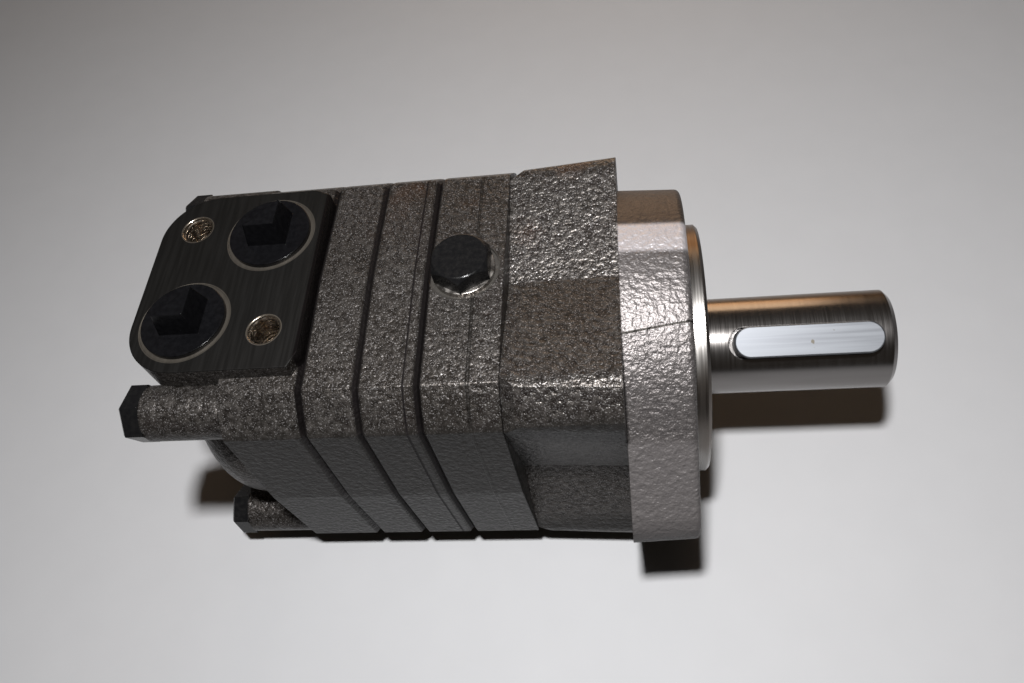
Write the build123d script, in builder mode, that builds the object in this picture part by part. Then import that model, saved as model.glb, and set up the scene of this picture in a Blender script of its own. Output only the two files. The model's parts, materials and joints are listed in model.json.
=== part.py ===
from build123d import *
from math import asin, atan2, cos, degrees, hypot, pi, radians, sin
import os

# Low-speed orbital hydraulic motor with a two-hole mounting flange and a keyed output shaft.
# X runs along the shaft towards its free end, Z points out of the port face.
# The origin is the centre of the mounting face.

# ---------------------------------------------------------------- driving dimensions (mm)
# lengths along the axis, each section behind the one before
flange_thickness = 20.0
neck_length = 34.0
drain_housing_length = 23.5
wear_plate_thickness = 4.0
gear_width = 14.0
channel_plate_thickness = 17.0
end_cover_slab_length = 25.0
end_cover_length = 55.5

# outer shape of the stacked sections
half_width = 51.0               # axis to the ridge in the middle of each side
corner_half_width = 48.7        # axis to the side, measured at the corner
turned_corner_radius = 62.7
edge_break = 1.5                # chamfer that makes the groove between two sections
bolt_offset = 38.7              # bolt axis, in Y and in Z

# front housing
pilot_radius = 41.25
pilot_length = 5.0
flange_radius = 54.1
ear_radius = 13.8
flange_hole_offset = 53.2
flange_hole_radius = 6.75
flange_draft = 3.0
flange_front_round = 1.8
lobe_radius = 10.1
valley_offset = 41.5
neck_draft = 2.0

# output shaft and key
shaft_radius = 16.0
shaft_end = 64.0
journal_radius = 17.5
journal_end = 6.0
barrel_radius = 22.0
barrel_rear = -72.0
socket_front = -29.0
key_length = 45.0
key_width = 10.0
key_height = 8.0
key_top = 19.0                  # axis to the top of the key
key_end_gap = 4.7               # shaft end to the key
key_angle = 30.0                # from Z towards -Y
centre_hole_radius = 4.0
centre_hole_depth = 18.0

# gear set: six-lobed rotor inside seven rollers
roller_count = 7
roller_radius = 5.5
roller_circle_radius = 33.0
eccentricity = 3.0
rotor_clearance = 0.3
ring_bore_radius = 34.0

# splines between shaft, rotor, disc valve and the two drive shafts
spline_teeth = 8
spline_land = 10.4
spline_groove = 12.2
spline_groove_width = 5.0
crown_root = 9.6
crown_tip = 11.5
crown_tooth_width = 4.0

# ports, in the top of the end cover
port_face_height = 54.3
port_block_half_width = 34.0
port_offset_x = 10.5
port_offset_y = 16.2
port_hole_radius = 9.5
port_spotface_radius = 14.3
manifold_hole_offset_x = 15.9
manifold_hole_offset_y = 20.6
manifold_hole_radius = 5.0
manifold_hole_depth = 13.0
drain_hole_radius = 6.6
drain_setback = 12.4            # front of the drain housing to the drain port

# ---------------------------------------------------------------- section planes
neck_front = -flange_thickness
housing_rear = neck_front - neck_length
drain_rear = housing_rear - drain_housing_length
wear_rear = drain_rear - wear_plate_thickness
ring_rear = wear_rear - gear_width
channel_rear = ring_rear - channel_plate_thickness
slab_rear = channel_rear - end_cover_slab_length
cover_rear = channel_rear - end_cover_length
drain_x = housing_rear - drain_setback
port_centre_x = (channel_rear + cover_rear) / 2
port_places = [(port_centre_x + port_offset_x, port_offset_y), (port_centre_x - port_offset_x, -port_offset_y)]
manifold_places = [
    (port_centre_x - manifold_hole_offset_x, manifold_hole_offset_y),
    (port_centre_x + manifold_hole_offset_x, -manifold_hole_offset_y),
]
bolt_places = [(side * bolt_offset, up * bolt_offset) for side in (1, -1) for up in (1, -1)]

fit_clearance = 0.02            # between parts that sit tightly together
from_start = (Align.CENTER, Align.CENTER, Align.MIN)


# ---------------------------------------------------------------- shared shapes
def round_x(x_start, x_end, radius, places=((0, 0),), mode=Mode.ADD):
    """Round bars or holes along X, one at each (y, z)."""
    with Locations(*[Location((x_start, y, z), (0, 90, 0)) for y, z in places]):
        Cylinder(radius, x_end - x_start, align=from_start, mode=mode)


def round_z(z_start, z_end, radius, places, mode=Mode.ADD):
    """Round bars or holes along Z, one at each (x, y)."""
    with Locations(*[Location((x, y, z_start)) for x, y in places]):
        Cylinder(radius, z_end - z_start, align=from_start, mode=mode)


def turned(points, mode=Mode.ADD):
    """A body turned about the X axis from (x, radius) points."""
    with BuildSketch(Plane.XZ) as profile:
        with BuildLine():
            Polyline(*points, close=True)
        make_face()
    revolve(profile.sketch, axis=Axis.X, mode=mode)


def on_circle(radius, count, first=0.0):
    """(y, z) of equally spaced places on a circle about the axis."""
    angles = [radians(first + 360 * i / count) for i in range(count)]
    return [(radius * cos(a), radius * sin(a)) for a in angles]


def body_outline(x):
    """Square with a slight ridge in each side and turned corners."""
    corner = corner_half_width
    points = [(half_width, 0), (corner, corner), (0, half_width), (-corner, corner)]
    points += [(-y, -z) for y, z in points]
    with BuildSketch(Plane.YZ.offset(x)) as outline:
        with BuildLine():
            Polyline(*points, close=True)
        make_face()
        Circle(turned_corner_radius, mode=Mode.INTERSECT)
    return outline.sketch


def lobed_outline(x):
    """Four bolt lobes with a shallow valley in the middle of each side."""
    reach = hypot(bolt_offset, bolt_offset - valley_offset)
    heading = atan2(bolt_offset, bolt_offset - valley_offset) - asin(lobe_radius / reach)
    run = (reach**2 - lobe_radius**2) ** 0.5
    tangent_y = valley_offset + run * cos(heading)
    tangent_z = run * sin(heading)
    quarter = [(valley_offset, 0), (tangent_y, tangent_z), (tangent_z, tangent_y)]
    points = []
    for turn in range(4):
        a = turn * pi / 2
        points += [(y * cos(a) - z * sin(a), y * sin(a) + z * cos(a)) for y, z in quarter]
    with BuildSketch(Plane.YZ.offset(x)) as outline:
        with BuildLine():
            Polyline(*points, close=True)
        make_face()
        with Locations(*bolt_places):
            Circle(lobe_radius)
    return outline.sketch


def splined(x_start, x_end, root_radius, tip_radius, tooth_width, centre_y=0, mode=Mode.ADD):
    """A splined bar, or a splined hole, along X."""
    start = Plane((x_start, centre_y, 0), x_dir=(0, 1, 0), z_dir=(1, 0, 0))
    with BuildSketch(start) as teeth:
        Circle(root_radius)
        with PolarLocations(0, spline_teeth):
            Rectangle(tip_radius, tooth_width, align=(Align.MIN, Align.CENTER))
    extrude(teeth.sketch, amount=x_end - x_start, mode=mode)


def ring_x(x_start, x_end, inner_radius, outer_radius, mode=Mode.ADD):
    """A plain ring about the X axis."""
    inner, outer = inner_radius, outer_radius
    turned([(x_start, inner), (x_end, inner), (x_end, outer), (x_start, outer)], mode)


def seal_ring(x, radius, wire_radius):
    """A round-section seal about the X axis."""
    with Locations(Location((x, 0, 0), (0, 90, 0))):
        Torus(radius, wire_radius)


def write(piece, name):
    """Label a finished piece and write its STEP file."""
    piece.part.label = name
    export_step(piece.part, f"parts/{name}.step")


os.makedirs("parts", exist_ok=True)

# ---------------------------------------------------------------- front housing
seal_pocket_floor = -3.0
seal_pocket_radius = 35.0
front_bearing_rear = -19.0
front_bearing_front = -7.0
front_bearing_radius = 27.0
between_bearings_radius = 25.0
rear_bearing_front = -38.0
rear_bearing_rear = -52.0
rear_bearing_radius = 29.0
retaining_groove_rear = -53.4
retaining_groove_radius = 30.5
neck_seal_inner = 35.5
neck_seal_outer = 38.5
bolt_thread_depth = 26.0
bolt_hole_radius = 5.3
cover_screw_places = on_circle(31.2, 6, 30.0)
cover_screw_tip = -13.0
lobe_turning = [(0, 61.0), (4, 63.3), (neck_length, 65.0), (neck_length, 75), (0, 75)]

with BuildPart() as front_housing:
    extrude(lobed_outline(housing_rear), amount=neck_length, taper=-neck_draft)
    with BuildSketch(Plane.YZ.offset(neck_front)) as flange:
        Circle(flange_radius)
        with Locations((flange_hole_offset, 0), (-flange_hole_offset, 0)):
            Circle(ear_radius)
        make_hull()
    extrude(flange.sketch, amount=flange_thickness, taper=flange_draft)
    fillet(front_housing.faces().sort_by(Axis.X)[-1].outer_wire().edges(), flange_front_round)
    # the lobes are turned to a slight cone, steeper where they meet the drain housing
    turned([(housing_rear + x, radius) for x, radius in lobe_turning], mode=Mode.SUBTRACT)
    round_x(-1, pilot_length, pilot_radius)
    chamfer(front_housing.faces().sort_by(Axis.X)[-1].edges(), 1.0)
    round_x(seal_pocket_floor, pilot_length, seal_pocket_radius, mode=Mode.SUBTRACT)
    round_x(front_bearing_rear, 0, front_bearing_radius, mode=Mode.SUBTRACT)
    round_x(housing_rear, 0, between_bearings_radius, mode=Mode.SUBTRACT)
    round_x(housing_rear, rear_bearing_front, rear_bearing_radius, mode=Mode.SUBTRACT)
    groove_ends = (retaining_groove_rear, rear_bearing_rear)
    round_x(*groove_ends, retaining_groove_radius, mode=Mode.SUBTRACT)
    round_x(housing_rear, housing_rear + bolt_thread_depth, 5.05, bolt_places, mode=Mode.SUBTRACT)
    flange_holes = [(flange_hole_offset, 0), (-flange_hole_offset, 0)]
    round_x(neck_front - 1, 1, flange_hole_radius, flange_holes, mode=Mode.SUBTRACT)
    round_x(cover_screw_tip - 1, 0, 2.05, cover_screw_places, mode=Mode.SUBTRACT)
write(front_housing, "front_housing")

# ---------------------------------------------------------------- drain housing
drain_housing_bore = 26.0
section_seal_inner = 44.0
section_seal_outer = 47.0
seal_groove_depth = 1.5
drain_spotface_height = 49.6
drain_spotface_radius = 11.0
drain_thread_end = 38.0
drain_passage_radius = 3.5
dowel_places = on_circle(40.6, 2, 360 * 1.5 / roller_count)
dowel_radius = 1.9
dowel_front = drain_rear + 5
dowel_rear = ring_rear - 6

with BuildPart() as drain_housing:
    extrude(body_outline(drain_rear), amount=drain_housing_length)
    chamfer(drain_housing.faces().sort_by(Axis.X)[0].edges(), edge_break)
    round_x(drain_rear, housing_rear, drain_housing_bore, mode=Mode.SUBTRACT)
    round_x(drain_rear, housing_rear, bolt_hole_radius, bolt_places, mode=Mode.SUBTRACT)
    round_x(drain_rear, dowel_front, dowel_radius, dowel_places, mode=Mode.SUBTRACT)
    front_groove = (housing_rear - seal_groove_depth, housing_rear)
    ring_x(*front_groove, neck_seal_inner, neck_seal_outer, mode=Mode.SUBTRACT)
    rear_groove = (drain_rear, drain_rear + seal_groove_depth)
    ring_x(*rear_groove, section_seal_inner, section_seal_outer, mode=Mode.SUBTRACT)
    drain_place = [(drain_x, 0)]
    round_z(drain_spotface_height, 55, drain_spotface_radius, drain_place, mode=Mode.SUBTRACT)
    round_z(drain_thread_end, half_width, drain_hole_radius, drain_place, mode=Mode.SUBTRACT)
    round_z(drain_housing_bore - 2, half_width, drain_passage_radius, drain_place, mode=Mode.SUBTRACT)
write(drain_housing, "drain_housing")

# ---------------------------------------------------------------- wear plate
with BuildPart() as wear_plate:
    extrude(body_outline(wear_rear), amount=wear_plate_thickness)
    chamfer(wear_plate.faces().sort_by(Axis.X)[-1].edges(), edge_break)
    round_x(wear_rear, drain_rear, 16.0, mode=Mode.SUBTRACT)
    round_x(wear_rear, drain_rear, bolt_hole_radius, bolt_places, mode=Mode.SUBTRACT)
    round_x(wear_rear, drain_rear, dowel_radius, dowel_places, mode=Mode.SUBTRACT)
    plate_groove = (wear_rear, wear_rear + seal_groove_depth)
    ring_x(*plate_groove, section_seal_inner, section_seal_outer, mode=Mode.SUBTRACT)
write(wear_plate, "wear_plate")

# ---------------------------------------------------------------- gear ring and its rollers
roller_places = on_circle(roller_circle_radius, roller_count)
pocket_radius = roller_radius + 0.06
side_clearance = 0.05

with BuildPart() as gear_ring:
    extrude(body_outline(ring_rear), amount=gear_width)
    chamfer(gear_ring.faces().sort_by(Axis.X)[0].edges(), edge_break)
    round_x(ring_rear, wear_rear, ring_bore_radius, mode=Mode.SUBTRACT)
    round_x(ring_rear, wear_rear, pocket_radius, roller_places, mode=Mode.SUBTRACT)
    round_x(ring_rear, wear_rear, bolt_hole_radius, bolt_places, mode=Mode.SUBTRACT)
    round_x(ring_rear, wear_rear, dowel_radius, dowel_places, mode=Mode.SUBTRACT)
write(gear_ring, "gear_ring")

for number, place in enumerate(roller_places, start=1):
    with BuildPart() as ring_roller:
        round_x(ring_rear + side_clearance, wear_rear - side_clearance, roller_radius, [place])
        chamfer(ring_roller.edges().filter_by(GeomType.CIRCLE), 0.4)
    write(ring_roller, f"ring_roller_{number}")


# ---------------------------------------------------------------- rotor
def rotor_point(t):
    """Point of the six-lobed outline that keeps in touch with every roller."""
    lobes = roller_count
    centre_y = roller_circle_radius * cos(t) - eccentricity * cos(lobes * t)
    centre_z = roller_circle_radius * sin(t) - eccentricity * sin(lobes * t)
    slope_y = -roller_circle_radius * sin(t) + lobes * eccentricity * sin(lobes * t)
    slope_z = roller_circle_radius * cos(t) - lobes * eccentricity * cos(lobes * t)
    inset = (roller_radius + rotor_clearance) / hypot(slope_y, slope_z)
    return (centre_y - inset * slope_z, centre_z + inset * slope_y)


rotor_steps = 24 * (roller_count - 1)
rotor_start = ring_rear + side_clearance
rotor_end = wear_rear - side_clearance

with BuildPart() as rotor:
    with BuildSketch(Plane((rotor_start, eccentricity, 0), x_dir=(0, 1, 0), z_dir=(1, 0, 0))):
        with BuildLine():
            Spline(*[rotor_point(2 * pi * i / rotor_steps) for i in range(rotor_steps)], periodic=True)
        make_face()
    extrude(amount=rotor_end - rotor_start)
    socket = (spline_land, spline_groove, spline_groove_width, eccentricity)
    splined(rotor_start, rotor_end, *socket, mode=Mode.SUBTRACT)
write(rotor, "rotor")

# ---------------------------------------------------------------- channel plate
channel_bore = 14.8
channel_places = on_circle(27.0, roller_count, 180 / roller_count)
check_angles = (0, 360 * 3 / roller_count)
check_places = [(39 * cos(radians(a)), 39 * sin(radians(a))) for a in check_angles]
check_seat_radius = 2.2
check_drain_x = channel_rear + 8

with BuildPart() as channel_plate:
    extrude(body_outline(channel_rear), amount=channel_plate_thickness)
    chamfer(channel_plate.faces().sort_by(Axis.X)[-1].edges(), edge_break)
    chamfer(channel_plate.faces().sort_by(Axis.X)[0].edges(), edge_break)
    round_x(channel_rear, ring_rear, channel_bore, mode=Mode.SUBTRACT)
    round_x(channel_rear, ring_rear, 2.6, channel_places, mode=Mode.SUBTRACT)
    round_x(channel_rear, check_drain_x, check_seat_radius, check_places, mode=Mode.SUBTRACT)
    for angle in check_angles:
        with Locations(Location((check_drain_x, 0, 0), (-90 + angle, 0, 0))):
            Cylinder(1.8, 40, align=from_start, mode=Mode.SUBTRACT)
    round_x(channel_rear, ring_rear, bolt_hole_radius, bolt_places, mode=Mode.SUBTRACT)
    round_x(dowel_rear, ring_rear, dowel_radius, dowel_places, mode=Mode.SUBTRACT)
    channel_groove = (ring_rear - seal_groove_depth, ring_rear)
    ring_x(*channel_groove, section_seal_inner, section_seal_outer, mode=Mode.SUBTRACT)
write(channel_plate, "channel_plate")

# ---------------------------------------------------------------- end cover with the ports
boss_radius = 8.6
boss_rear = cover_rear + 5.3
web_width = 11.0
core_radius = 44.5
core_rear = cover_rear + 6.5
core_edge_radius = 14.0
block_corner_radius = 17.0
block_front_chamfer = 2.4
valve_cavity_radius = 34.0
valve_cavity_rear = channel_rear - 27.0
rear_cavity_radius = 24.0
rear_cavity_rear = channel_rear - 41.5
check_bore_radius = 3.6
check_bore_rear = channel_rear - 14
port_thread_end = port_face_height - 17
port_passage_radius = 6.0
balance_pin_places = on_circle(29.0, 2, 0)
balance_pin_rear = valve_cavity_rear - 5

with BuildPart() as end_cover:
    extrude(body_outline(slab_rear), amount=end_cover_slab_length)
    chamfer(end_cover.faces().sort_by(Axis.X)[-1].edges(), edge_break)
    edge = core_edge_radius
    with BuildSketch(Plane.XZ) as core_profile:
        with BuildLine():
            Line((slab_rear, 0), (slab_rear, core_radius))
            Line((slab_rear, core_radius), (core_rear + edge, core_radius))
            RadiusArc((core_rear + edge, core_radius), (core_rear, core_radius - edge), -edge)
            Line((core_rear, core_radius - edge), (core_rear, 0))
            Line((core_rear, 0), (slab_rear, 0))
        make_face()
    revolve(core_profile.sketch, axis=Axis.X)
    for y, z in bolt_places:
        round_x(boss_rear, slab_rear, boss_radius, [(y, z)])
        with BuildSketch(Plane.YZ.offset(boss_rear + 1)) as web:
            with Locations(Location((y * 0.8, z * 0.8, 0), degrees(atan2(z, y)))):
                Rectangle(2 * boss_radius, web_width)
        extrude(web.sketch, amount=slab_rear - boss_rear - 1)
    with BuildSketch(Plane.XY.offset(half_width - 25)) as block:
        with Locations(((cover_rear + channel_rear) / 2, 0)):
            Rectangle(end_cover_length, 2 * port_block_half_width)
        fillet(block.vertices().group_by(Axis.X)[0], block_corner_radius)
        chamfer(block.vertices().group_by(Axis.X)[-1], block_front_chamfer, angle=65)
    extrude(block.sketch, amount=port_face_height - half_width + 25)
    round_x(valve_cavity_rear, channel_rear, valve_cavity_radius, mode=Mode.SUBTRACT)
    round_x(rear_cavity_rear, channel_rear, rear_cavity_radius, mode=Mode.SUBTRACT)
    round_x(boss_rear, channel_rear, bolt_hole_radius, bolt_places, mode=Mode.SUBTRACT)
    round_x(check_bore_rear, channel_rear, check_bore_radius, check_places, mode=Mode.SUBTRACT)
    round_x(balance_pin_rear, channel_rear, 2.0, balance_pin_places, mode=Mode.SUBTRACT)
    cover_groove = (channel_rear - seal_groove_depth, channel_rear)
    ring_x(*cover_groove, section_seal_inner, section_seal_outer, mode=Mode.SUBTRACT)
    round_z(port_thread_end, port_face_height, port_hole_radius, port_places, mode=Mode.SUBTRACT)
    round_z(12, port_face_height, port_passage_radius, port_places, mode=Mode.SUBTRACT)
    spotface = port_face_height - 0.25
    round_z(spotface, port_face_height, port_spotface_radius, port_places, mode=Mode.SUBTRACT)
    manifold_hole_end = port_face_height - manifold_hole_depth
    round_z(manifold_hole_end, port_face_height, manifold_hole_radius, manifold_places, mode=Mode.SUBTRACT)
write(end_cover, "end_cover")

# ---------------------------------------------------------------- through bolts
bolt_radius = 5.0
bolt_head_height = 6.4
bolt_head_flats = 16.0
bolt_head_edge = 0.8
bolt_head_turns = (35, 12, 47, 25)      # each head stopped at its own angle
bolt_tip = housing_rear + bolt_thread_depth - 2

with BuildPart() as through_bolts:
    with BuildSketch(Plane.YZ.offset(boss_rear - bolt_head_height)) as heads:
        for place, turn in zip(bolt_places, bolt_head_turns):
            with Locations(place):
                RegularPolygon(bolt_head_flats / 2, 6, major_radius=False, rotation=turn)
    extrude(heads.sketch, amount=bolt_head_height)
    chamfer(through_bolts.faces().group_by(Axis.X)[0].edges(), bolt_head_edge)
    round_x(boss_rear, bolt_tip, bolt_radius, bolt_places)
    chamfer(through_bolts.faces().group_by(Axis.X)[-1].edges(), bolt_head_edge)
write(through_bolts, "through_bolts")

# ---------------------------------------------------------------- drain plug
drain_washer_thickness = 1.5
drain_washer_radius = 9.7
drain_hex_flats = 17.0
drain_hex_height = 6.0
drain_cone_base = 13.5           # cone that rounds the top of the hexagon
drain_cone_top = 8.2

with BuildPart() as drain_washer:
    washer_top = drain_spotface_height + drain_washer_thickness
    round_z(drain_spotface_height, washer_top, drain_washer_radius, drain_place)
    round_z(drain_spotface_height, washer_top, 6.9, drain_place, mode=Mode.SUBTRACT)
write(drain_washer, "drain_washer")

with BuildPart() as drain_plug:
    with BuildSketch(Plane.XY.offset(washer_top)) as drain_head:
        with Locations(*drain_place):
            RegularPolygon(drain_hex_flats / 2, 6, major_radius=False, rotation=30)
    extrude(drain_head.sketch, amount=drain_hex_height)
    # the corners of the hexagon are turned off to a cone
    with Locations((drain_x, 0, washer_top)):
        Cone(drain_cone_base, drain_cone_top, drain_hex_height, align=from_start, mode=Mode.INTERSECT)
    round_z(drain_thread_end + 2, washer_top, 6.55, drain_place)
write(drain_plug, "drain_plug")

# ---------------------------------------------------------------- plugs of the two ports
plug_flange_radius = 13.15
plug_flange_thickness = 1.6
plug_grip_height = 9.0
plug_grip_side = 12.5
plug_spigot_radius = 9.3
plug_spigot_length = 8.0
plug_wall = 1.6

for letter, (x, y) in zip("ab", port_places):
    with BuildPart() as port_plug:
        plug_top = spotface + plug_flange_thickness
        round_z(spotface, plug_top, plug_flange_radius, [(x, y)])
        round_z(spotface - plug_spigot_length, spotface, plug_spigot_radius, [(x, y)])
        hollow = plug_spigot_radius - plug_wall
        round_z(spotface - plug_spigot_length, spotface, hollow, [(x, y)], mode=Mode.SUBTRACT)
        corner = (x + 6.5, y - 5.5)
        with BuildSketch(Plane.XY.offset(plug_top)) as grip:
            with BuildLine():
                left = (corner[0] - plug_grip_side, corner[1])
                far = (corner[0], corner[1] + plug_grip_side)
                Polyline(corner, far, left, close=True)
            make_face()
        extrude(grip.sketch, amount=plug_grip_height, taper=5)
    write(port_plug, f"port_plug_{letter}")

# ---------------------------------------------------------------- seal cover
cover_front = pilot_length - 0.3
cover_bore = 24.0
dust_seal_bore = 22.0
dust_seal_rear = 1.5
screw_head_radius = 3.6
screw_head_depth = 4.2

with BuildPart() as seal_cover:
    round_x(seal_pocket_floor, cover_front, seal_pocket_radius - 0.05)
    round_x(front_bearing_front, seal_pocket_floor, front_bearing_radius - 0.05)
    round_x(front_bearing_front, 1.2, cover_bore, mode=Mode.SUBTRACT)
    round_x(front_bearing_front, cover_front, 20.0, mode=Mode.SUBTRACT)
    round_x(dust_seal_rear, cover_front, dust_seal_bore, mode=Mode.SUBTRACT)
    round_x(seal_pocket_floor, cover_front, 2.2, cover_screw_places, mode=Mode.SUBTRACT)
    head_floor = cover_front - screw_head_depth
    round_x(head_floor, cover_front, screw_head_radius + 0.1, cover_screw_places, mode=Mode.SUBTRACT)
    ring_x(-6.2, -4.0, 25.6, front_bearing_radius, mode=Mode.SUBTRACT)
write(seal_cover, "seal_cover")

with BuildPart() as cover_seal:
    seal_ring(-5.1, 26.3, 0.68)
write(cover_seal, "cover_seal")

with BuildPart() as cover_screws:
    round_x(cover_screw_tip, head_floor, 2.0, cover_screw_places)
    round_x(head_floor, cover_front - 0.4, screw_head_radius, cover_screw_places)
    with BuildSketch(Plane.YZ.offset(cover_front - 2.6)) as sockets:
        with Locations(*cover_screw_places):
            RegularPolygon(1.5, 6, major_radius=False)
    extrude(sockets.sketch, amount=2.6, mode=Mode.SUBTRACT)
write(cover_screws, "cover_screws")

with BuildPart() as shaft_seal:
    lip_ends = [(-4.6, 17.55), (-2.6, 17.55), (-2.6, 19.5)]
    turned(lip_ends + [(-0.1, 19.5), (-0.1, 23.95), (-4.6, 23.95)])
write(shaft_seal, "shaft_seal")

with BuildPart() as dust_seal:
    ring_x(dust_seal_rear, cover_front - 0.2, 17.55, dust_seal_bore - 0.05)
write(dust_seal, "dust_seal")

# ---------------------------------------------------------------- front ball bearing
ball_radius = 3.2
ball_circle_radius = 22.25
ball_count = 14
ball_x = (front_bearing_rear + front_bearing_front) / 2
race_clearance = 0.06
ball_places = on_circle(ball_circle_radius, ball_count)


def ball_groove():
    """Running groove for the balls."""
    with Locations(Location((ball_x, 0, 0), (0, 90, 0))):
        Torus(ball_circle_radius, ball_radius + race_clearance, mode=Mode.SUBTRACT)


with BuildPart() as front_bearing_outer:
    ring_x(front_bearing_rear, front_bearing_front, 23.7, front_bearing_radius)
    ball_groove()
write(front_bearing_outer, "front_bearing_outer")

with BuildPart() as front_bearing_inner:
    ring_x(front_bearing_rear, front_bearing_front, journal_radius + fit_clearance, 20.8)
    ball_groove()
write(front_bearing_inner, "front_bearing_inner")

with BuildPart() as front_bearing_balls:
    with Locations(*[(ball_x, y, z) for y, z in ball_places]):
        Sphere(ball_radius)
write(front_bearing_balls, "front_bearing_balls")

with BuildPart() as front_bearing_cage:
    ring_x(ball_x - 4.4, ball_x + 4.4, 21.5, 23.0)
    with Locations(*[(ball_x, y, z) for y, z in ball_places]):
        Sphere(ball_radius + race_clearance, mode=Mode.SUBTRACT)
write(front_bearing_cage, "front_bearing_cage")

# ---------------------------------------------------------------- rear needle bearing
needle_radius = 2.4
needle_circle_radius = 24.5
needle_count = 20
needle_places = on_circle(needle_circle_radius, needle_count)
cup_inner = needle_circle_radius + needle_radius + race_clearance

with BuildPart() as rear_bearing_cup:
    ring_x(rear_bearing_rear, rear_bearing_front, cup_inner, rear_bearing_radius)
write(rear_bearing_cup, "rear_bearing_cup")

with BuildPart() as rear_bearing_needles:
    round_x(rear_bearing_rear + 2, rear_bearing_front - 2, needle_radius, needle_places)
write(rear_bearing_needles, "rear_bearing_needles")

with BuildPart() as rear_bearing_cage:
    ring_x(rear_bearing_rear + 0.5, rear_bearing_front - 0.5, 23.6, 25.4)
    pocket_ends = (rear_bearing_rear + 1.95, rear_bearing_front - 1.95)
    round_x(*pocket_ends, needle_radius + race_clearance, needle_places, mode=Mode.SUBTRACT)
write(rear_bearing_cage, "rear_bearing_cage")

with BuildPart() as rear_retaining_ring:
    ring_x(retaining_groove_rear + 0.1, rear_bearing_rear - 0.1, 27.6, retaining_groove_radius - 0.2)
    with Locations((rear_bearing_rear, 0, -retaining_groove_radius)):
        Box(6, 8, 8, mode=Mode.SUBTRACT)
write(rear_retaining_ring, "rear_retaining_ring")

# ---------------------------------------------------------------- output shaft and key
snap_groove_rear = front_bearing_front
snap_groove_front = snap_groove_rear + 1.3
socket_bore = 12.6
key_start = shaft_end - key_end_gap - key_length
key_seat = key_top - key_height
keyway_front_gap = 1.6
key_direction = (0, -sin(radians(key_angle)), cos(radians(key_angle)))
key_plane = Plane((0, 0, 0), x_dir=(1, 0, 0), z_dir=key_direction)


def key_outline(start, end, width, height):
    """Round-ended outline of the key, at a height above the shaft axis."""
    with BuildSketch(key_plane.offset(height)) as outline:
        with Locations(((start + end) / 2, 0)):
            SlotOverall(end - start, width)
    return outline.sketch


with BuildPart() as output_shaft:
    shaft_profile = [
        (barrel_rear, 0), (barrel_rear, barrel_radius), (front_bearing_rear, barrel_radius),
        (front_bearing_rear, journal_radius), (journal_end - 0.5, journal_radius),
        (journal_end, journal_radius - 0.5), (journal_end, shaft_radius),
        (shaft_end - 1.5, shaft_radius), (shaft_end, shaft_radius - 1.5), (shaft_end, 0),
    ]
    # turned from the side opposite the keyway
    turned([(x, -radius) for x, radius in shaft_profile])
    ring_x(snap_groove_rear, snap_groove_front, 16.6, journal_radius + 1, mode=Mode.SUBTRACT)
    socket = (spline_land, spline_groove, spline_groove_width)
    splined(barrel_rear, socket_front, *socket, mode=Mode.SUBTRACT)
    round_x(barrel_rear, -48, socket_bore, mode=Mode.SUBTRACT)
    round_x(shaft_end - centre_hole_depth, shaft_end, centre_hole_radius, mode=Mode.SUBTRACT)
    keyway_end = key_start + key_length + fit_clearance
    keyway_width = key_width + 2 * fit_clearance
    keyway = key_outline(key_start - keyway_front_gap, keyway_end, keyway_width, key_seat - fit_clearance)
    extrude(keyway, amount=key_height, mode=Mode.SUBTRACT)
write(output_shaft, "output_shaft")

with BuildPart() as shaft_key:
    extrude(key_outline(key_start, key_start + key_length, key_width, key_seat), amount=key_height)
    chamfer(shaft_key.faces().sort_by(Axis((0, 0, 0), key_direction))[-1].edges(), 0.4)
write(shaft_key, "shaft_key")

with BuildPart() as shaft_snap_ring:
    ring_x(snap_groove_rear + 0.05, snap_groove_front - 0.05, 16.65, 19.3)
    with Locations((snap_groove_rear, 0, -journal_radius)):
        Box(5, 5, 8, mode=Mode.SUBTRACT)
write(shaft_snap_ring, "shaft_snap_ring")

# ---------------------------------------------------------------- drive shafts inside
cardan_front_x = -40.0
cardan_rear_x = -85.2
drive_front_x = -93.0
drive_rear_x = -124.0


def drive_shaft(front_x, front_y, rear_x, rear_y, front_half, rear_half, neck_radius):
    """A bar with a short spline at each end, along the line between two centres."""
    run = hypot(front_x - rear_x, front_y - rear_y)
    lean = degrees(atan2(front_y - rear_y, front_x - rear_x))
    with BuildPart(mode=Mode.PRIVATE) as bar:
        splined(-rear_half, rear_half, crown_root, crown_tip, crown_tooth_width)
        splined(run - front_half, run + front_half, crown_root, crown_tip, crown_tooth_width)
        round_x(-rear_half, run + front_half, neck_radius)
    add(bar.part.moved(Location((rear_x, rear_y, 0), (0, 0, lean))))


with BuildPart() as cardan_shaft:
    drive_shaft(cardan_front_x, 0, cardan_rear_x, eccentricity, 6, 3.0, 8.5)
write(cardan_shaft, "cardan_shaft")

with BuildPart() as valve_drive:
    drive_shaft(drive_front_x, eccentricity, drive_rear_x, 0, 1.9, 3.0, 7.5)
write(valve_drive, "valve_drive")

with BuildPart() as spacer_disc:
    round_x(-90.2, -88.9, 6.0, [(eccentricity, 0)])
write(spacer_disc, "spacer_disc")

# ---------------------------------------------------------------- disc valve and balance plate
valve_front = channel_rear - 0.1
valve_rear = channel_rear - 16.5
valve_port_places = on_circle(27.0, 2 * (roller_count - 1))
plate_front = valve_rear - 0.1
plate_rear = plate_front - 7
spring_rear = plate_rear - 3.2

with BuildPart() as disc_valve:
    round_x(valve_rear, valve_front, 33.0)
    splined(valve_rear, valve_front, *socket, mode=Mode.SUBTRACT)
    round_x(valve_front - 9, valve_front, 2.5, valve_port_places, mode=Mode.SUBTRACT)
    round_x(valve_front - 9, valve_front, 14.0, mode=Mode.SUBTRACT)
write(disc_valve, "disc_valve")

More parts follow.
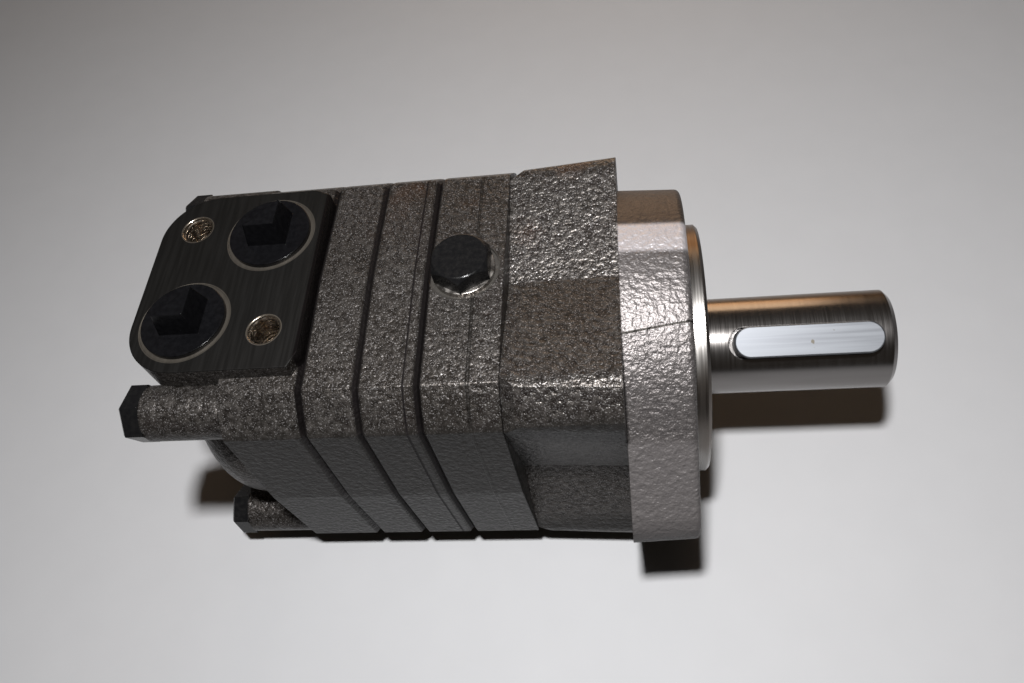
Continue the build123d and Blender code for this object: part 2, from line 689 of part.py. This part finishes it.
with BuildPart() as balance_plate:
    round_x(plate_rear, plate_front, 33.7)
    round_x(plate_rear, plate_front, 18.0, mode=Mode.SUBTRACT)
    round_x(plate_rear, plate_front, 2.0, balance_pin_places, mode=Mode.SUBTRACT)
    ring_x(plate_rear + 2.4, plate_rear + 4.4, 32.1, 33.7, mode=Mode.SUBTRACT)
write(balance_plate, "balance_plate")

with BuildPart() as balance_pins:
    round_x(balance_pin_rear + 0.3, plate_front - 1, 1.95, balance_pin_places)
write(balance_pins, "balance_pins")

with BuildPart() as balance_seal:
    seal_ring(plate_rear + 3.4, 33.0, 0.88)
write(balance_seal, "balance_seal")

with BuildPart() as balance_spring:
    cone = [(plate_rear - 0.1, 19.5), (plate_rear - 1.1, 19.5), (spring_rear, 26.5), (spring_rear + 1, 26.5)]
    turned(cone)
write(balance_spring, "balance_spring")

# ---------------------------------------------------------------- check valves
check_ball_radius = 3.0
check_ball_x = channel_rear - (check_ball_radius**2 - check_seat_radius**2) ** 0.5 - 0.02
check_spring_front = check_ball_x - 2.2

with BuildPart() as check_balls:
    with Locations(*[(check_ball_x, y, z) for y, z in check_places]):
        Sphere(check_ball_radius)
write(check_balls, "check_balls")

with BuildPart() as check_springs:
    spring_length = check_spring_front - check_bore_rear - 0.6
    for y, z in check_places:
        start = Plane((check_bore_rear + 0.4, y, z), x_dir=(0, 1, 0), z_dir=(1, 0, 0))
        coil = Helix(2.2, spring_length, 2.7).moved(start.location)
        with BuildSketch(Plane(coil @ 0, z_dir=coil % 0)) as wire:
            Circle(0.35)
        sweep(wire.sketch, path=coil, is_frenet=True)
write(check_springs, "check_springs")

# ---------------------------------------------------------------- seals and dowels of the sections
with BuildPart() as neck_seal:
    seal_ring(housing_rear - seal_groove_depth / 2, 37.0, 0.74)
write(neck_seal, "neck_seal")

with BuildPart() as section_seals:
    groove_middle = seal_groove_depth / 2
    seal_ring(drain_rear + groove_middle, 45.5, 0.74)
    seal_ring(wear_rear + groove_middle, 45.5, 0.74)
    seal_ring(ring_rear - groove_middle, 45.5, 0.74)
    seal_ring(channel_rear - groove_middle, 45.5, 0.74)
write(section_seals, "section_seals")

with BuildPart() as dowel_pins:
    round_x(dowel_rear + 0.3, dowel_front - 0.3, dowel_radius - 0.02, dowel_places)
write(dowel_pins, "dowel_pins")
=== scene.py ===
import json
import math

import bpy
from mathutils import Matrix, Vector


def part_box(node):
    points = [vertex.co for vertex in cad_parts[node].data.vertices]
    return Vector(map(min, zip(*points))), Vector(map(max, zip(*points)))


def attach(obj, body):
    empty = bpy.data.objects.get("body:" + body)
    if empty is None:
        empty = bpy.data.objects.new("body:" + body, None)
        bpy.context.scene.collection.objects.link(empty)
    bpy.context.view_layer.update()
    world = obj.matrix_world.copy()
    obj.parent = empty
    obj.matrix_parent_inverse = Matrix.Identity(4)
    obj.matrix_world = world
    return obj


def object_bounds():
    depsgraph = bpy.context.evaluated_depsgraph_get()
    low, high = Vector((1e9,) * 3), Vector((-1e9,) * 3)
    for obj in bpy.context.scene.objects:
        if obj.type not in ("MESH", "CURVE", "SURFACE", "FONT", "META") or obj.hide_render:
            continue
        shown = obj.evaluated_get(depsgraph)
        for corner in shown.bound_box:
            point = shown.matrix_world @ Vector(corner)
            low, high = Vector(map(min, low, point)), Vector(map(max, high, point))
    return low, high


# Looks of the hydraulic motor. Metres, in the CAD frame: X along the shaft, Z out of the port face.

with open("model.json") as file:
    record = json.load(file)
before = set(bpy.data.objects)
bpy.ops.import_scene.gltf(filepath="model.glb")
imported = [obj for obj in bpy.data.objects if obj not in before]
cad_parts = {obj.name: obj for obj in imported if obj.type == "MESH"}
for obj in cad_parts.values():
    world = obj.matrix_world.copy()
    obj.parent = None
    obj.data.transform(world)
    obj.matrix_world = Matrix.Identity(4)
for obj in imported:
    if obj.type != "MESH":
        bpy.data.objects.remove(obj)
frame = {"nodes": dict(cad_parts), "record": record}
NODES = frame["nodes"]
cad_low, cad_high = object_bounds()

# boxes of the stacked sections, and places taken from the record's mounts
MOUNTS = {mount["name"]: mount["pos_m"] for mount in frame["record"]["mounts"]}
SECTIONS = {name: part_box(name) for name in ("front_housing", "drain_housing", "wear_plate", "gear_ring",
                                            "channel_plate", "end_cover")}
PORT_Z = MOUNTS["port_face"][2]
DRAIN_X = MOUNTS["drain_port"][0]
HOLES = [MOUNTS["manifold_hole_a"], MOUNTS["manifold_hole_b"]]
PORTS = [MOUNTS["port_a"], MOUNTS["port_b"]]
FLANGE_REAR = -0.020

# tints that several castings share
# painted shade for grooves and chamfers, also the colour of the dark joint lines between sections
SHADE_AND_JOINT_DARK = (0.006, 0.005, 0.005)
OILED_DARK, OILED_LIGHT = (0.012, 0.0102, 0.009), (0.042, 0.038, 0.035)


# ---------------------------------------------------------------- node helpers
class Graph:
    """A material's node tree, with short ways to add and join nodes."""

    def __init__(self, name):
        self.mat = bpy.data.materials.new(name)
        self.mat.use_nodes = True
        self.tree = self.mat.node_tree
        self.tree.nodes.clear()
        self.out = self.add("ShaderNodeOutputMaterial")
        self.shader = self.add("ShaderNodeBsdfPrincipled")
        self.tree.links.new(self.shader.outputs[0], self.out.inputs["Surface"])
        self.place = self.add("ShaderNodeTexCoord").outputs["Object"]
        split = self.add("ShaderNodeSeparateXYZ")
        self.join(self.place, split.inputs[0])
        self.x, self.y, self.z = split.outputs

    def add(self, kind, **settings):
        node = self.tree.nodes.new(kind)
        for key, value in settings.items():
            setattr(node, key, value)
        return node

    def join(self, source, target):
        if hasattr(source, "links"):
            self.tree.links.new(source, target)
        else:
            target.default_value = source

    def noise(self, scale, detail=4.0, rough=0.55, stretch=None):
        node = self.add("ShaderNodeTexNoise")
        node.inputs["Scale"].default_value = scale
        node.inputs["Detail"].default_value = detail
        node.inputs["Roughness"].default_value = rough
        self.join(self.stretched(stretch), node.inputs["Vector"])
        return node.outputs["Fac"]

    def stretched(self, stretch):
        """The object's own coordinates, scaled along each axis."""
        if stretch is None:
            return self.place
        node = self.add("ShaderNodeMapping")
        node.inputs["Scale"].default_value = stretch
        self.join(self.place, node.inputs["Vector"])
        return node.outputs["Vector"]

    def math(self, operation, a, b=0.0, c=0.0):
        node = self.add("ShaderNodeMath", operation=operation)
        for value, socket in zip((a, b, c), node.inputs):
            self.join(value, socket)
        return node.outputs[0]

    def ramp(self, value, low, high, start=0.0, end=1.0):
        """Smooth step from start at low to end at high."""
        node = self.add("ShaderNodeMapRange", interpolation_type="SMOOTHSTEP")
        for key, number in (("From Min", low), ("From Max", high), ("To Min", start), ("To Max", end)):
            node.inputs[key].default_value = number
        self.join(value, node.inputs["Value"])
        return node.outputs["Result"]

    def both(self, a, b):
        return self.math("MULTIPLY", a, b)

    def either(self, a, b):
        return self.math("MAXIMUM", a, b)

    def near(self, value, middle, half, soft):
        """1 within half of the middle, falling to 0 over soft."""
        away = self.math("ABSOLUTE", self.math("SUBTRACT", value, middle))
        return self.ramp(away, half, half + soft, 1.0, 0.0)

    def away_from(self, centre):
        """Distance in the XY plane from a vertical axis."""
        dx = self.math("SUBTRACT", self.x, centre[0])
        dy = self.math("SUBTRACT", self.y, centre[1])
        return self.math("SQRT", self.math("ADD", self.both(dx, dx), self.both(dy, dy)))

    def mix(self, share, first, second):
        node = self.add("ShaderNodeMix", data_type="RGBA")
        self.join(share, node.inputs["Factor"])
        for value, socket in ((first, node.inputs[6]), (second, node.inputs[7])):
            self.join((*value, 1.0) if isinstance(value, tuple) else value, socket)
        return node.outputs[2]

    def blend(self, share, first, second):
        """Number between two, by share."""
        return self.math("MULTIPLY_ADD", share, self.math("SUBTRACT", second, first), first)

    def bump(self, height, distance, strength=1.0, before=None):
        node = self.add("ShaderNodeBump")
        node.inputs["Distance"].default_value = distance
        self.join(strength, node.inputs["Strength"])
        self.join(height, node.inputs["Height"])
        if before is not None:
            self.join(before, node.inputs["Normal"])
        return node.outputs["Normal"]

    def swap(self, share, first, second):
        """Vector between two, by share."""
        node = self.add("ShaderNodeMix", data_type="VECTOR")
        self.join(share, node.inputs["Factor"])
        self.join(first, node.inputs[4])
        self.join(second, node.inputs[5])
        return node.outputs[1]

    def rounded(self, radius):
        """Normal that softens sharp edges to a small radius."""
        node = self.add("ShaderNodeBevel", samples=4)
        node.inputs["Radius"].default_value = radius
        return node.outputs["Normal"]

    def finish(self, color, rough, metal=0.0, normal=None, gloss=0.5):
        self.join((*color, 1.0) if isinstance(color, tuple) else color, self.shader.inputs["Base Color"])
        self.join(rough, self.shader.inputs["Roughness"])
        self.join(metal, self.shader.inputs["Metallic"])
        self.shader.inputs["Specular IOR Level"].default_value = gloss
        if normal is not None:
            self.join(normal, self.shader.inputs["Normal"])
        return self.mat


# ---------------------------------------------------------------- materials
def cast_iron(name, grain=1.0, detail=None):
    """Oiled grey-iron casting: sandy grain, bright flecks, a patchy painted brown reflection on top and
    painted shade on the upright sides.
    """
    g = Graph(name)
    sand = g.noise(1150, 2, 0.5)
    lumps = g.noise(560, 2, 0.5)
    broad = g.noise(26, 3, 0.5)
    color = g.mix(g.ramp(lumps, 0.3, 0.75), OILED_DARK, OILED_LIGHT)
    color = g.mix(g.ramp(broad, 0.4, 0.7, 0.0, 0.5), color, (0.014, 0.0115, 0.0095))
    # painted reflection: patchy brown of the warm surroundings, towards the +Y side
    warm_reflection = g.both(g.ramp(g.noise(45, 3), 0.52, 0.7), g.ramp(g.y, 0.0, 0.04))
    color = g.mix(g.both(warm_reflection, 0.5), color, (0.035, 0.017, 0.009))
    rough = g.ramp(sand, 0.3, 0.7, 0.31, 0.43)
    height = g.math("MULTIPLY_ADD", lumps, 1.6, g.math("MULTIPLY", sand, 0.6))
    normal = g.bump(height, 0.00033, 0.8 * grain, g.rounded(0.0006))
    fleck = g.ramp(g.noise(2300, 2, 0.7), 0.57, 0.66)
    color = g.mix(g.both(fleck, 0.45), color, (0.26, 0.25, 0.25))
    # painted shade: the upright side faces are made darker and less metallic
    shaded_sides = g.ramp(g.math("ABSOLUTE", g.y), 0.0465, 0.049)
    color = g.mix(g.both(shaded_sides, 0.8), color, (0.006, 0.0055, 0.005))
    metal = g.blend(shaded_sides, 0.7, 0.3)
    if detail is not None:
        color, rough, metal, normal = detail(g, color, rough, metal, normal)
    return g.finish(color, rough, metal, normal, 0.1)


def groove_shade_and_joints(*planes):
    """Painted shade in the chamfer grooves, and a dark joint line where one section meets the next."""

    def detail(g, color, rough, metal, normal):
        for plane, half in planes:
            # painted shade in the chamfer grooves; the narrowest planes are dark joint lines
            mask = g.near(g.x, plane, half, 0.0004)
            color = g.mix(mask, color, SHADE_AND_JOINT_DARK)
            rough = g.blend(mask, rough, 0.6)
        return color, rough, metal, normal

    return detail


def port_block(g, color, rough, metal, normal):
    """Milled port face with worn rings round the ports, bare tapped holes and painted shade in the groove at
    the front.
    """
    top = g.near(g.z, PORT_Z, 0.0003, 0.0001)
    marks = g.noise(900, 2, 0.5, (1.0, 0.05, 1.0))
    milled = g.mix(g.ramp(marks, 0.3, 0.7), (0.0125, 0.012, 0.0115), (0.0145, 0.014, 0.0135))
    color = g.mix(top, color, milled)
    rough = g.blend(top, rough, g.ramp(marks, 0.3, 0.7, 0.4, 0.46))
    metal = g.blend(top, metal, 0.9)
    bare = 0.0
    for place in PORTS:
        ring = g.near(g.away_from(place), 0.0137, 0.0008, 0.0002)
        on_face = g.ramp(g.z, PORT_Z - 0.0004, PORT_Z - 0.0002)
        bare = g.either(bare, g.both(g.both(ring, on_face), 0.22))
    for place in HOLES:
        hole = g.ramp(g.away_from(place), 0.0053, 0.0056, 1.0, 0.0)
        above_floor = g.ramp(g.z, 0.03, 0.032)
        bare = g.either(bare, g.both(hole, above_floor))
    color = g.mix(bare, color, (0.42, 0.37, 0.31))
    rough = g.blend(bare, rough, 0.25)
    metal = g.blend(bare, metal, 1.0)
    # painted shade in the groove at the front
    groove_shade = g.near(g.x, SECTIONS["channel_plate"][0].x, 0.0009, 0.0004)
    color = g.mix(groove_shade, color, SHADE_AND_JOINT_DARK)
    return color, rough, metal, g.swap(top, normal, g.bump(marks, 0.000003, 0.3, g.rounded(0.0005)))


def drain_block(g, color, rough, metal, normal):
    """Mould line across the drain housing, and a bare spot face under the plug."""
    line = g.near(g.x, DRAIN_X + 0.0035, 0.0003, 0.0003)
    color = g.mix(g.both(line, 0.7), color, (0.010, 0.009, 0.008))
    normal = g.bump(line, 0.0003, 0.8, normal)
    disc = g.ramp(g.away_from((DRAIN_X, 0, 0)), 0.0111, 0.0114, 1.0, 0.0)
    spot = g.both(disc, g.ramp(g.z, 0.049, 0.0493))
    color = g.mix(spot, color, (0.05, 0.046, 0.042))
    rough = g.blend(spot, rough, 0.3)
    # painted shade in the groove at the rear edge of the drain housing
    groove_shade = g.near(g.x, SECTIONS["drain_housing"][0].x, 0.0008, 0.0004)
    color = g.mix(groove_shade, color, SHADE_AND_JOINT_DARK)
    return color, rough, metal, normal


def flange_face(g, color, rough, metal, normal):
    """Brighter flange: painted brown reflection on its top, a painted highlight band, pits below its seam;
    ahead of it the turned pilot.
    """
    flange = g.ramp(g.x, FLANGE_REAR - 0.0003, FLANGE_REAR + 0.0003)
    pits = g.noise(430, 3, 0.6)
    low = g.both(flange, g.ramp(g.y, -0.020, -0.028))
    normal = g.bump(pits, 0.0007, g.both(low, 0.8), normal)
    color = g.mix(g.both(flange, 0.45), color, (0.1, 0.092, 0.092))
    # painted reflection: brown of the warm surroundings on the flange's top (+Y side)
    top = g.both(flange, g.ramp(g.y, 0.010, 0.013))
    color = g.mix(g.both(top, 0.8), color, (0.022, 0.014, 0.009))
    # painted highlight: a pale band across the flange's top
    highlight_band = g.both(flange, g.near(g.y, 0.0055, 0.0045, 0.002))
    color = g.mix(g.both(highlight_band, 0.7), color, (0.33, 0.31, 0.32))
    rough = g.blend(flange, rough, 0.45)
    seam = g.both(flange, g.near(g.math("MULTIPLY_ADD", g.x, -0.15, g.y), -0.0215, 0.0002, 0.0002))
    color = g.mix(seam, color, (0.01, 0.009, 0.008))
    turned = g.ramp(g.x, -0.0001, 0.0)
    rings = g.noise(1600, 2, 0.6, (1.0, 0.02, 0.02))
    # pilot tint: brown oil-film patches, plus a painted brown reflection over its +Y side
    film = g.ramp(g.noise(60, 2, 0.5, (1.0, 0.5, 0.5)), 0.45, 0.6)
    film = g.either(g.both(film, 0.4), g.ramp(g.y, 0.002, 0.014))
    steel = g.mix(film, (0.22, 0.21, 0.2), (0.06, 0.034, 0.015))
    color = g.mix(turned, color, steel)
    rough = g.blend(turned, rough, g.ramp(rings, 0.3, 0.7, 0.26, 0.36))
    metal = g.blend(turned, metal, 1.0)
    return color, rough, metal, g.swap(turned, normal, g.bump(rings, 0.00003, 0.4, g.rounded(0.0005)))


def shaft_steel(name):
    """Turned steel with fine rings, a mottled grey tone, and a painted brown reflection in a band along the
    shaft.
    """
    g = Graph(name)
    rings = g.noise(2600, 2, 0.5, (1.0, 0.02, 0.02))
    film = g.noise(70, 3, 0.5, (0.12, 1.0, 1.0))
    # painted reflection: brown band along the +Y side of the shaft
    reflection_band = g.both(g.ramp(g.y, 0.0045, 0.0085), g.ramp(g.y, 0.0155, 0.0125))
    color = g.mix(g.ramp(film, 0.35, 0.65), (0.15, 0.14, 0.135), (0.22, 0.21, 0.205))
    color = g.mix(g.both(reflection_band, 0.85), color, (0.12, 0.068, 0.026))
    rough = g.ramp(rings, 0.3, 0.7, 0.19, 0.25)
    return g.finish(color, rough, 1.0, g.bump(rings, 0.000004, 0.3, g.rounded(0.0005)))


def key_steel(name):
    """Ground bar steel with fine lengthwise marks and a few brown spots."""
    g = Graph(name)
    marks = g.noise(800, 2, 0.6, (0.03, 1.0, 1.0))
    spots = g.ramp(g.noise(330, 2), 0.70, 0.74)
    color = g.mix(g.ramp(marks, 0.3, 0.7), (0.075, 0.078, 0.085), (0.095, 0.099, 0.107))
    color = g.mix(spots, color, (0.05, 0.045, 0.038))
    normal = g.bump(marks, 0.00002, 0.4, g.rounded(0.0003))
    return g.finish(color, g.ramp(marks, 0.3, 0.7, 0.44, 0.54), 0.9, normal)


def speckled(name, scale, dark, light, rough, metal=0.0, gloss=0.5, edge=0.0005):
    """A fine even grain between two close tints."""
    g = Graph(name)
    fine = g.noise(scale, 3, 0.6)
    wide = g.noise(scale / 12, 2, 0.5)
    color = g.mix(g.ramp(fine, 0.3, 0.72), dark, light)
    color = g.mix(g.ramp(wide, 0.4, 0.7, 0.0, 0.4), color, dark)
    normal = g.bump(fine, 0.00002, 0.5, g.rounded(edge))
    return g.finish(color, g.ramp(fine, 0.3, 0.7, *rough), metal, normal, gloss)


drain_x, wear_x = SECTIONS["drain_housing"][0].x, SECTIONS["wear_plate"][0].x
ring_x, channel_x = SECTIONS["gear_ring"][0].x, SECTIONS["channel_plate"][0].x
slot_materials = {
    "cast_iron_body": cast_iron("cast_iron"),
    "machined_iron": speckled("machined_iron", 500, (0.12, 0.118, 0.115), (0.2, 0.198, 0.195),
                              (0.3, 0.45), 0.95),
    "ground_steel": shaft_steel("shaft_steel"),
    "black_steel": speckled("black_oxide", 700, (0.002, 0.002, 0.0022), (0.0035, 0.0034, 0.0034),
                            (0.2, 0.28), gloss=0.16),
    "bearing_steel": speckled("bearing_steel", 300, (0.4, 0.4, 0.4), (0.55, 0.55, 0.56), (0.12, 0.22), 1.0),
    "black_plastic": speckled("plastic", 600, (0.0012, 0.0012, 0.0014), (0.002, 0.002, 0.0023),
                              (0.18, 0.24), gloss=0.14),
    "seal_rubber": speckled("rubber", 800, (0.008, 0.008, 0.008), (0.022, 0.022, 0.022), (0.5, 0.75)),
    "washer_metal": speckled("washer_metal", 400, (0.2, 0.185, 0.17), (0.34, 0.32, 0.3), (0.25, 0.4), 1.0),
    "cage_brass": speckled("brass", 300, (0.5, 0.36, 0.14), (0.62, 0.46, 0.2), (0.2, 0.35), 1.0),
}
node_materials = {
    "front_housing": cast_iron("cast_flange", 1.15, detail=flange_face),
    "drain_housing": cast_iron("cast_drain", 0.85, detail=drain_block),
    "wear_plate": cast_iron("cast_plate", 0.5, detail=groove_shade_and_joints((drain_x, 0.0008), (wear_x, 0.0002))),
    "gear_ring": cast_iron("cast_ring", 0.9, detail=groove_shade_and_joints((ring_x, 0.0008), (wear_x, 0.0001))),
    "channel_plate": cast_iron("cast_channel", 0.9,
                               detail=groove_shade_and_joints((ring_x, 0.0008), (channel_x, 0.0008))),
    "end_cover": cast_iron("cast_cover", 0.9, detail=port_block),
    "shaft_key": key_steel("key_steel"),
}
for part in frame["record"]["subparts"]:
    node = NODES[part["node"]]
    node.data.materials.clear()
    node.data.materials.append(node_materials.get(part["node"], slot_materials[part["material_slot"]]))


# ---------------------------------------------------------------- added detail
def mesh_piece(name, points, faces, material):
    """A smooth mesh that rides on the fixed body."""
    mesh = bpy.data.meshes.new(name)
    mesh.from_pydata(points, [], faces)
    mesh.polygons.foreach_set("use_smooth", [True] * len(faces))
    mesh.materials.append(material)
    mesh.update()
    piece = bpy.data.objects.new(name, mesh)
    bpy.context.scene.collection.objects.link(piece)
    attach(piece, "motor_body")
    return piece


def thread(name, centre, radius, depth, length, pitch):
    """A helical ridge inside a tapped hole along Z, open at the top."""
    steps, turns = 40, int(length / pitch)
    sink = 0.0004
    points, faces = [], []
    for i in range(steps * turns + 1):
        angle = 2 * math.pi * i / steps
        height = centre[2] - sink - pitch * i / steps
        for inward, rise in ((0.0, 0.0), (depth, -pitch / 2), (0.0, -pitch * 0.98)):
            r = radius - inward
            points.append((centre[0] + r * math.cos(angle), centre[1] + r * math.sin(angle), height + rise))
    for i in range(steps * turns):
        a, b = 3 * i, 3 * i + 3
        faces += [(a, b, b + 1, a + 1), (a + 1, b + 1, b + 2, a + 2)]
    return mesh_piece(name, points, faces, bare_steel)


bare_steel = speckled("bare_thread", 500, (0.3, 0.26, 0.22), (0.5, 0.44, 0.38), (0.2, 0.32), 1.0,
                      edge=0.00005)
for letter, hole in zip("ab", HOLES):
    thread(f"thread_{letter}", hole, radius=0.00499, depth=0.0007, length=0.0115, pitch=0.0015)


# ---------------------------------------------------------------- floor, light and camera
def floor_paint():
    """Pale board with a faint mottle."""
    g = Graph("floor")
    return g.finish(g.mix(g.noise(60, 3), (0.165, 0.165, 0.169), (0.175, 0.175, 0.179)), 0.7)


floor_gap = 0.0003
bpy.ops.mesh.primitive_plane_add(size=6, location=(0, 0, cad_low.z - floor_gap))
floor = bpy.context.object
floor.name = "floor"
floor.data.materials.append(floor_paint())

world = bpy.data.worlds.new("studio")
bpy.context.scene.world = world
world.use_nodes = True
background = world.node_tree.nodes["Background"]
background.inputs["Color"].default_value = (1.0, 0.84, 0.7, 1)
background.inputs["Strength"].default_value = 0.05

# where the camera stands, its line of sight and its downward axis
eye_place = Vector((-0.01472, -0.15221, 0.24273))
ahead = Vector((-0.15398, 0.539834, -0.827568))
down = Vector((-0.050412, -0.840759, -0.539058))
right = down.cross(ahead)


def area(name, place, size, power, aim, color=(1, 1, 1)):
    light = bpy.data.lights.new(name, "AREA")
    light.size = size
    light.energy = power
    light.color = color
    lamp = bpy.data.objects.new(name, light)
    bpy.context.scene.collection.objects.link(lamp)
    lamp.location = place
    lamp.rotation_euler = (aim - place).to_track_quat("-Z", "Y").to_euler()


# the key light stands half as far again from the shaft's shadow as a flash just above the camera would
shaft_shadow = Vector((0.035, -0.005, cad_low.z))
flash = eye_place - down * 0.09
key_place = shaft_shadow.lerp(flash, 1.5)
area("key_light", key_place, 0.035, 9.5, Vector((-0.06, 0, 0)))
area("warm_fill", Vector((-0.02, 1.0, 0.24)), 0.55, 3.2, Vector((-0.05, 0, 0.03)), (1.0, 0.68, 0.42))

camera = bpy.data.cameras.new("camera")
camera.sensor_width = 36
camera.lens = 29.08
camera.clip_start = 0.01
camera.clip_end = 20
eye = bpy.data.objects.new("camera", camera)
bpy.context.scene.collection.objects.link(eye)
pose = Matrix((right, -down, -ahead)).transposed().to_4x4()
pose.translation = eye_place
eye.matrix_world = pose
bpy.context.scene.camera = eye
bpy.context.scene.view_settings.view_transform = "Standard"
